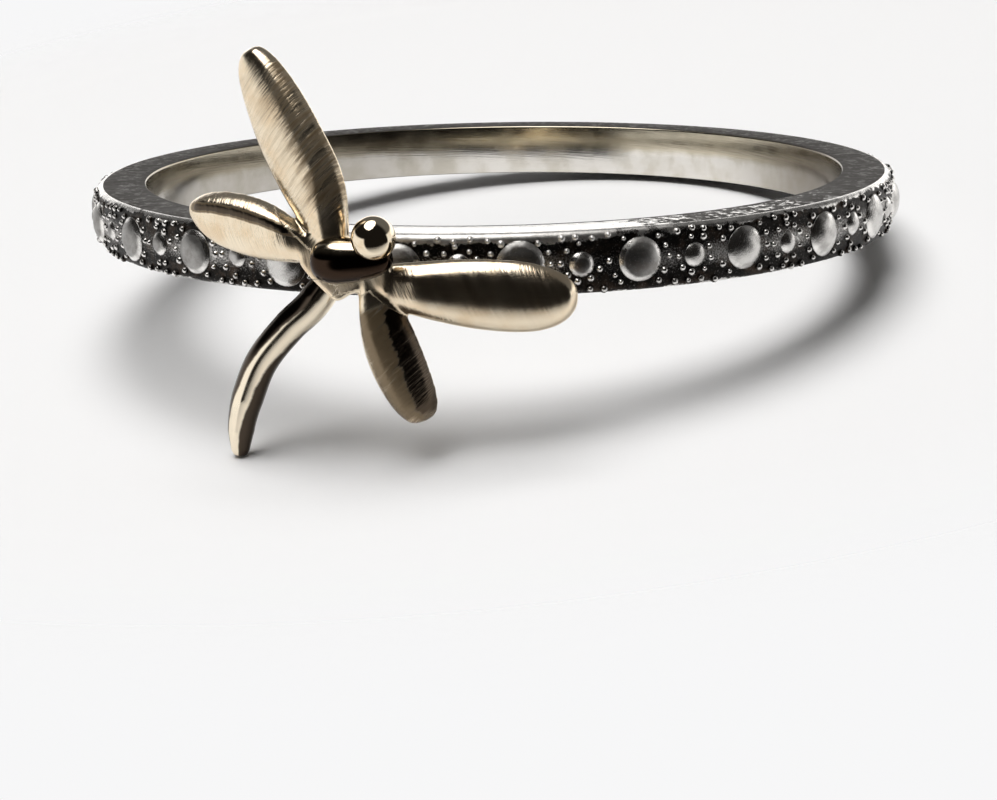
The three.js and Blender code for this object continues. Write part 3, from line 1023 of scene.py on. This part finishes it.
def wingPlaces(bm):
    # each point's place along, across and behind the wing that it belongs to, which is the one whose
    # middle line is near, the more so further out and the less so behind its root
    axes = []
    for wing in wings:
        heading = math.radians(wing["heading"])
        root = inSheet(wing["root"][0], wing["root"][1], 0, wing["bend"])
        along = inSheet(
            wing["root"][0] + math.cos(heading), wing["root"][1] + math.sin(heading), 0, wing["bend"]
        ) - root
        across = Vector((0, 1, 0)).cross(along)
        axes.append((root, along, across))
    found = []
    for vert in bm.verts:
        best, value = math.inf, None
        for number, (root, along, across) in enumerate(axes):
            out = vert.co - root
            place = Vector((out.dot(along), out.dot(across), out.y - out.dot(along) * along.y))
            away = abs(place.y) - 0.3 * place.x + (1.0 if place.x < 0 else 0.0)
            if away < best:
                best, value = away, (place.x + brush["step"] * number, place.y, place.z)
        found.append(value)
    return found


buildSheet()

ball = {"u_segments": 72, "v_segments": 48}
head = {"middle": (1.32, 0.83), "radius": 0.465, "forward": 0.3}
chest = {
    "middle": (0.76, 0.34), "length": 1.78, "width": 0.94, "depth": 0.86, "forward": 0.15, "turn": 5,
    "bluntness": 2.7,  # an ellipsoid's is 2
    "leftFuller": 0.36,
}
tail = {
    "start": (0.1, -0.08), "across": 2.36, "drop": 4.11, "diameter": 0.72, "forward": 0.08,
    "behind": 0.46, "around": 48, "along": 140,
    "path": [
        (0.0, 0.0), (0.23, 0.17), (0.46, 0.29), (0.73, 0.47), (0.88, 0.65), (0.97, 0.82), (1.0, 1.0),
    ],
    "taper": [
        (0.0, 0.0), (0.004, 0.35), (0.02, 0.72), (0.05, 0.93), (0.12, 1.0), (0.7, 0.97), (0.87, 0.8),
        (0.96, 0.54), (0.985, 0.4), (0.996, 0.22), (1.0, 0.0),
    ],
}


def buildHead():
    bm = bmesh.new()
    bmesh.ops.create_uvsphere(bm, radius=head["radius"], **ball)
    bmesh.ops.translate(bm, verts=bm.verts, vec=inSheet(*head["middle"], head["forward"]))
    return finishPiece(bm, "headBall", [polishedBronze], "dragonfly")


def buildChest():
    bm = bmesh.new()
    bmesh.ops.create_uvsphere(bm, radius=0.5, **ball)
    for vert in bm.verts:
        reach = abs(2 * vert.co.x)
        fuller = 1.0 - chest["leftFuller"] * vert.co.x
        if reach < 1:
            blunt = (1 - reach ** chest["bluntness"]) ** (1 / chest["bluntness"])
            fuller *= blunt / max(1e-6, math.sqrt(1 - reach ** 2))
        vert.co.y *= fuller
        vert.co.z *= fuller
    bmesh.ops.scale(bm, verts=bm.verts, vec=(chest["length"], chest["depth"], chest["width"]))
    bmesh.ops.rotate(
        bm, verts=bm.verts, cent=(0, 0, 0), matrix=Matrix.Rotation(-math.radians(chest["turn"]), 3, "Y")
    )
    bmesh.ops.translate(bm, verts=bm.verts, vec=inSheet(*chest["middle"], chest["forward"]))
    return finishPiece(bm, "chestOval", [shadePaintedBronze], "dragonfly")


def tailPath(share):
    # a smooth curve through the rows of tail["path"]
    rows = tail["path"]
    spot = min(share * (len(rows) - 1), len(rows) - 1.0001)
    k, t = int(spot), spot - int(spot)
    a, b, c, d = (Vector(rows[min(max(k + i, 0), len(rows) - 1)]) for i in (-1, 0, 1, 2))
    squared = 2 * a - 5 * b + 4 * c - d
    cubed = 3 * b - a - 3 * c + d
    point = 0.5 * (2 * b + (c - a) * t + squared * t ** 2 + cubed * t ** 3)
    return inSheet(
        tail["start"][0] - point.x * tail["across"],
        tail["start"][1] - point.y * tail["drop"],
        point.y * tail["forward"] - tail["behind"],
    )


def tailRadius(share):
    return tail["diameter"] / 2 * lookUp(tail["taper"], share)


def tailPoint(around, along):
    along = (1 - math.cos(math.pi * along)) / 2
    before, after = tailPath(max(0, along - 0.01)), tailPath(min(1, along + 0.01))
    course = (after - before).normalized()
    aside = course.cross(Vector((0, -1, 0))).normalized()
    front = aside.cross(course)
    angle = 2 * math.pi * around
    return tailPath(along) + tailRadius(along) * (aside * math.cos(angle) + front * math.sin(angle))


def buildTail():
    bm = bmesh.new()
    wrapGrid(bm, tail["around"], tail["along"], tailPoint)
    return finishPiece(bm, "tailWire", [tailBronze], "dragonfly")


buildHead()
buildChest()
buildTail()
print("dragonfly made")


# Floor, light and camera
studio = {
    "floorRadius": 0.5,
    "fadeMiddle": (-0.004, 0.012, 0),
    "fade": (0.034, 0.022),  # distance from there over which the floor ends
    "floorColour": (0.90, 0.90, 0.905, 1),
    "backdrop": (0.93, 0.93, 0.935, 1),
    "dark": (0.010, 0.009, 0.008, 1),
    "side": (0.98, 0.97, 0.96, 1),
    "above": (3.0, 2.96, 2.9, 1),
    "strip": (1.6, 1.58, 1.54, 1),
    "darkTurn": math.radians(36),  # the darker part of the room, to the right of the dragonfly's front
    "darkEnds": (0.53, 0.375),
    "high": (0.85, 0.89),  # height of a direction from which the light overhead starts
    "highRightward": 0.45,  # it reaches less far down on the right
    "low": (0.31, 0.17),  # height under which the sides are bright
    "behind": ((0.1, 0.4), (0.0, 0.12)),
    "stripBehind": (0.55, 0.8),
    "stripHeight": 0.03,
    "stripEdge": (0.18, 0.08),
}
lamp = {"place": (-0.02, 0.01, 0.2), "size": 0.2, "power": 0.24}


def buildFloor():
    bm = bmesh.new()
    bmesh.ops.create_circle(bm, cap_ends=True, segments=96, radius=studio["floorRadius"])
    mesh = bpy.data.meshes.new("floor")
    bm.to_mesh(mesh)
    bm.free()
    floor = bpy.data.objects.new("floor", mesh)
    bpy.context.scene.collection.objects.link(floor)
    material, tree, shader = startMaterial("paleFloor")
    place = addNode(tree, "TexCoord").outputs["Object"]
    away = addNode(tree, "VectorMath", {
        0: place, 1: studio["fadeMiddle"],
    }, operation="DISTANCE").outputs["Value"]
    link(
        tree, shader, Base_Color=studio["floorColour"], Roughness=0.6,
        Alpha=ramp(tree, away, studio["fade"]),
    )
    mesh.materials.append(material)


def buildLamp():
    light = bpy.data.lights.new("overhead", "AREA")
    light.shape = "DISK"
    light.size = lamp["size"]
    light.energy = lamp["power"]
    holder = bpy.data.objects.new("overhead", light)
    holder.location = lamp["place"]
    holder.rotation_euler = Vector(lamp["place"]).to_track_quat("Z", "Y").to_euler()
    holder.visible_camera = False
    holder.visible_glossy = False
    bpy.context.scene.collection.objects.link(holder)


def buildWorld():
    world = bpy.data.worlds.new("studio")
    bpy.context.scene.world = world
    world.use_nodes = True
    tree = world.node_tree
    tree.nodes.clear()
    direction = addNode(tree, "TexCoord").outputs["Generated"]
    parts = addNode(tree, "SeparateXYZ", {0: direction}).outputs
    facing = (math.sin(studio["darkTurn"]), -math.cos(studio["darkTurn"]), 0)
    front = addNode(tree, "VectorMath", {0: direction, 1: facing}, operation="DOT_PRODUCT").outputs["Value"]
    rightward = times(tree, larger(tree, parts["X"], 0.0), studio["highRightward"])
    high = ramp(tree, minus(tree, parts["Z"], rightward), studio["high"])
    clear = ramp(tree, front, studio["darkEnds"])
    low = ramp(tree, parts["Z"], studio["low"])
    behind = ramp(tree, parts["Y"], *studio["behind"])
    side = times(tree, clear, larger(tree, low, behind))
    room = blend(tree, side, studio["dark"], studio["side"])
    # a bright strip just over the horizon behind the ring, which the flat rims mirror
    level = awayFrom(tree, parts["Z"], studio["stripHeight"])
    strip = ramp(tree, parts["Y"], studio["stripBehind"])
    strip = times(tree, strip, ramp(tree, level, studio["stripEdge"]))
    lit = blend(tree, strip, blend(tree, high, room, studio["above"]), studio["strip"])
    seen = addNode(tree, "LightPath").outputs["Is Camera Ray"]
    background = addNode(tree, "Background", {"Color": blend(tree, seen, lit, studio["backdrop"])})
    output = addNode(tree, "OutputWorld")
    tree.links.new(background.outputs[0], output.inputs["Surface"])


def buildCamera():
    turn = Matrix.Rotation(math.radians(camera["azimuth"]), 3, "Z")
    pitch, roll = math.radians(camera["pitch"]), math.radians(camera["roll"])
    right = Vector((1, 0, 0))
    up = Vector((0, math.sin(pitch), math.cos(pitch)))
    forward = Vector((0, math.cos(pitch), -math.sin(pitch)))
    rolledRight = right * math.cos(roll) + up * math.sin(roll)
    rolledUp = up * math.cos(roll) - right * math.sin(roll)
    where = turn @ Vector((0, -camera["distance"], camera["height"] + band["height"] / 2))
    axes = [ringTurn @ (turn @ v) for v in (rolledRight, rolledUp, -forward)]
    matrix = Matrix.Identity(4)
    for column, axis in enumerate(axes):
        for row in range(3):
            matrix[row][column] = axis[row]
    matrix.translation = upright @ where
    data = bpy.data.cameras.new("camera")
    data.sensor_width = camera["sensor"]
    data.lens = camera["lens"]
    data.clip_start = 0.001
    data.clip_end = 10
    holder = bpy.data.objects.new("camera", data)
    bpy.context.scene.collection.objects.link(holder)
    holder.matrix_world = matrix
    bpy.context.scene.camera = holder


buildFloor()
buildLamp()
buildWorld()
buildCamera()
bpy.context.scene.view_settings.view_transform = "Standard"
print("floor, light and camera made")
